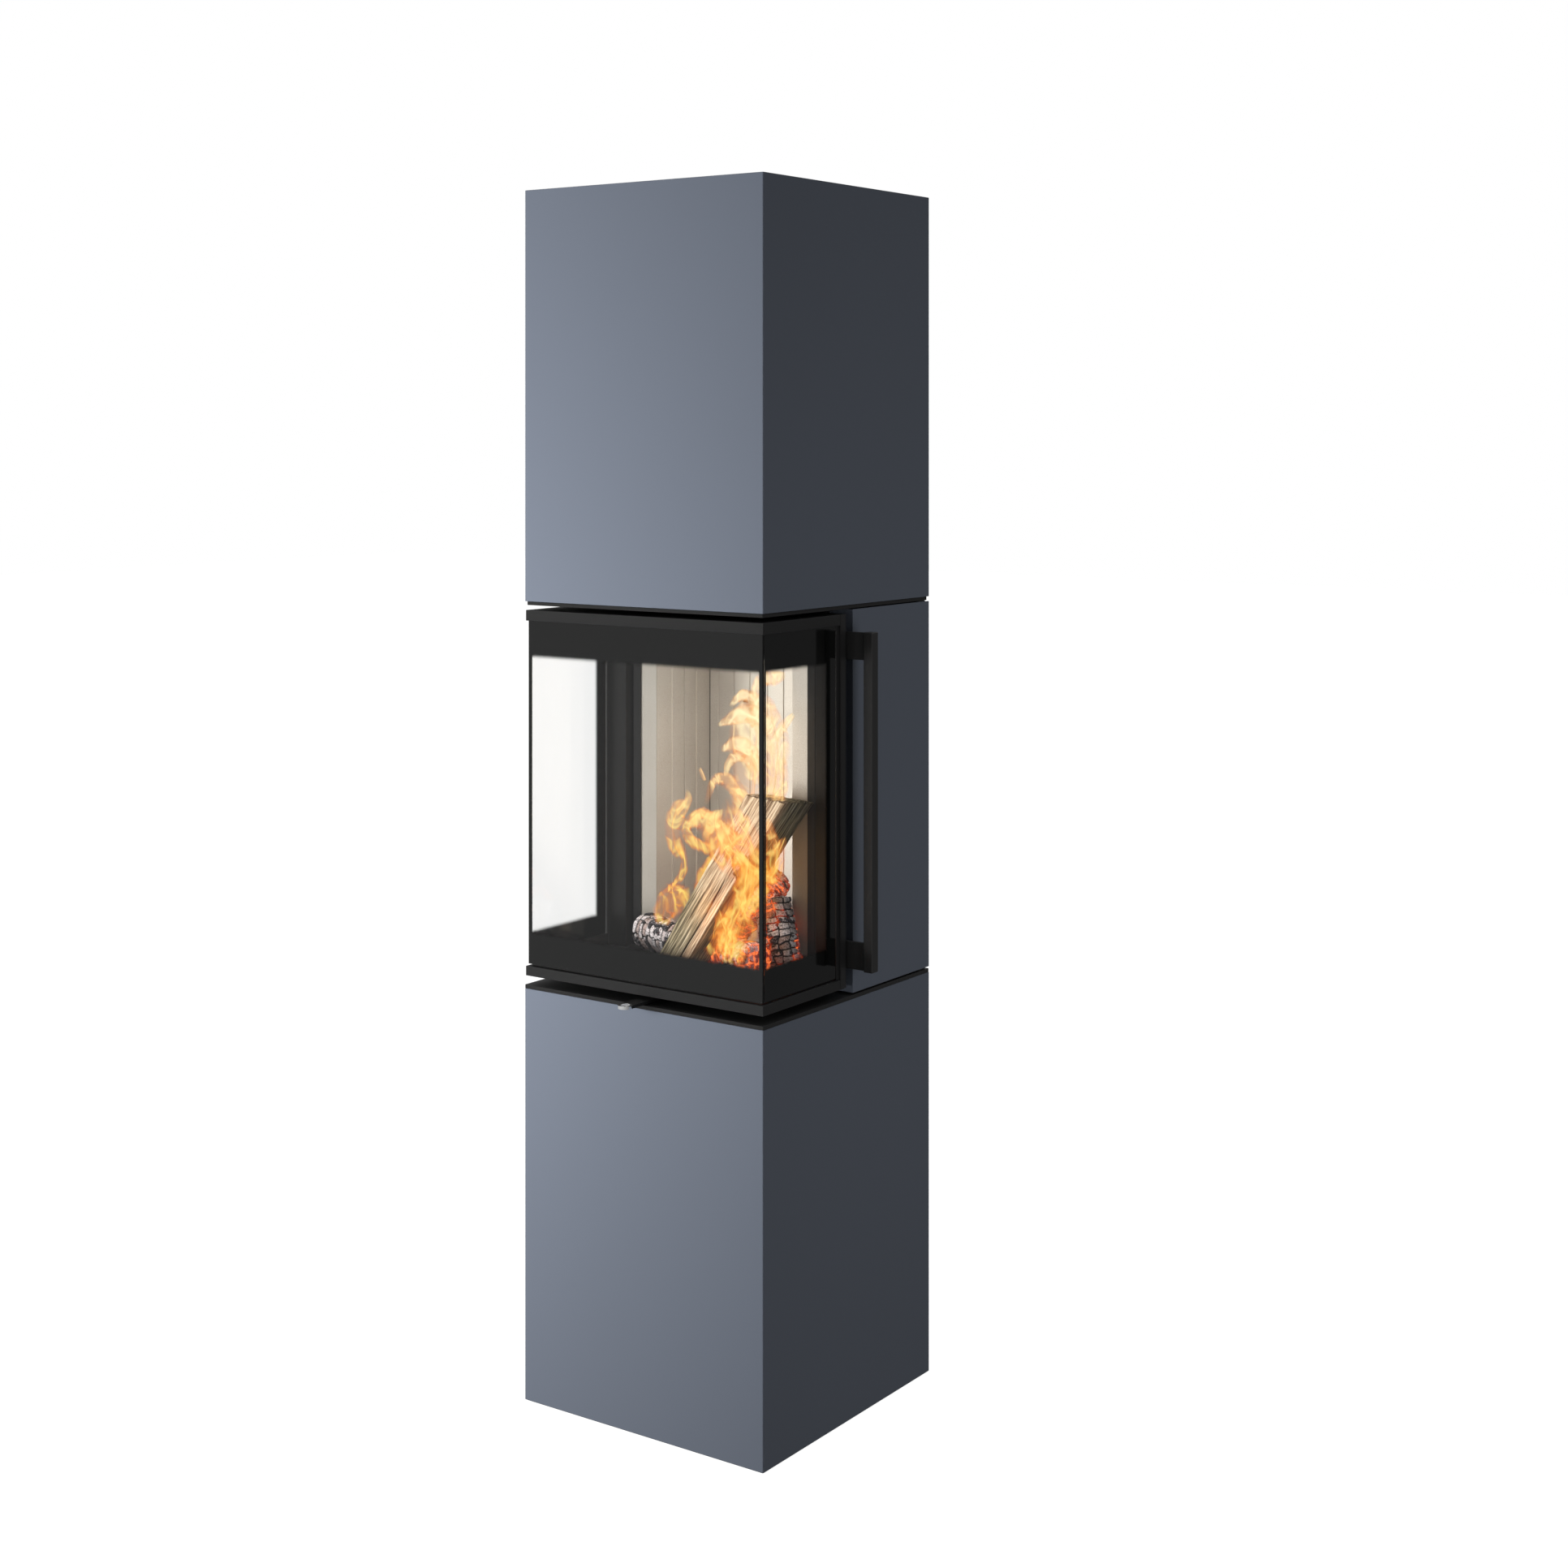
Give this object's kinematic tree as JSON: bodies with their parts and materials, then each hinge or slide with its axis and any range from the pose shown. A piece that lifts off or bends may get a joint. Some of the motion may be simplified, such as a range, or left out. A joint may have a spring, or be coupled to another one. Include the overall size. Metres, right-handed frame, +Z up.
{
  "type": "three-sided fireplace",
  "caption": "Slim square column fireplace with glass on the front and sides: a hinged door with a side bar handle, a lined firebox with logs, an air lever, and casings below and above.",
  "frame": {"origin": "on the floor at the middle of the square base", "axes": "+Z up, front face towards -Y, handle side towards +X, air lever along -Y"},
  "size_m": [0.53, 0.528, 1.98],
  "materials": {
    "casing_paint": "fine matt blue-grey powder paint",
    "stove_paint": "fine matt black heatproof paint",
    "zinc_steel": "zinc plated",
    "cast_iron": "as cast, blackened",
    "clear_glass": "clear heatproof glass ceramic with a black printed border",
    "firebrick": "pressed vermiculite board, matt",
    "woven_seal": "flat woven glass fibre tape",
    "chrome": "polished chrome",
    "split_wood": "split log, bark on one edge",
    "charred_wood": "charred and ashed log"
  },
  "bodies": {
    "column": {"lower_casing": "casing_paint", "upper_casing": "casing_paint", "lower_back_panel": "casing_paint", "upper_back_panel": "casing_paint", "rear_panel": "casing_paint", "side_panel_left": "casing_paint", "side_panel_right": "casing_paint", "top_plate": "casing_paint", "base_plate": "stove_paint", "pedestal_support_left": "stove_paint", "pedestal_support_right": "stove_paint", "lower_plate": "stove_paint", "upper_plate": "stove_paint", "air_box": "stove_paint", "firebox_shell": "stove_paint", "firebox_front_frame": "stove_paint", "hearth_ledge": "stove_paint", "flue_pipe": "stove_paint", "rear_post_left": "stove_paint", "rear_post_right": "stove_paint", "door_shield": "stove_paint", "levelling_screw_1": "zinc_steel", "levelling_screw_2": "zinc_steel", "levelling_screw_3": "zinc_steel", "levelling_screw_4": "zinc_steel", "air_intake_duct": "zinc_steel", "lower_hinge_pin": "zinc_steel", "upper_hinge_pin": "zinc_steel", "latch_keeper_lower": "zinc_steel", "latch_keeper_upper": "zinc_steel", "damper_pivot_pin": "zinc_steel", "grate": "cast_iron", "flue_collar": "cast_iron", "hearth_brick": "firebrick", "side_lining_left": "firebrick", "side_lining_right": "firebrick", "back_lining": "firebrick", "baffle_plate": "firebrick", "log_leaning": "split_wood", "log_lying": "charred_wood", "log_crossing": "charred_wood", "log_corner": "charred_wood"},
    "door": {"door_bottom_frame": "stove_paint", "door_top_frame": "stove_paint", "door_stile_left": "stove_paint", "door_stile_right": "stove_paint", "front_glass": "clear_glass", "side_glass_left": "clear_glass", "side_glass_right": "clear_glass", "glass_retainer": "stove_paint", "door_gasket": "woven_seal"},
    "latch_handle": {"handle_bar": "stove_paint", "handle_arm_lower": "stove_paint", "handle_arm_upper": "stove_paint", "latch_shaft": "zinc_steel", "latch_hook_lower": "zinc_steel", "latch_hook_upper": "zinc_steel"},
    "air_control": {"air_lever": "stove_paint", "lever_ring": "chrome", "damper_plate": "zinc_steel"}
  },
  "joints": [
    {"name": "door_swing", "type": "hinge", "parent": "column", "child": "door", "pos_m": [-0.2235, -0.0205, 0.6954], "axis": [0, 0, -1], "range_deg": [0, 100]},
    {"name": "handle_latch", "type": "hinge", "parent": "door", "child": "latch_handle", "pos_m": [0.2235, -0.0205, 0.6954], "axis": [0, 0, -1], "range_deg": [0, 12]},
    {"name": "air_lever_swing", "type": "hinge", "parent": "column", "child": "air_control", "pos_m": [0, 0.035, 0.6826], "axis": [0, 0, 1], "range_deg": [-12, 12]}
  ]
}
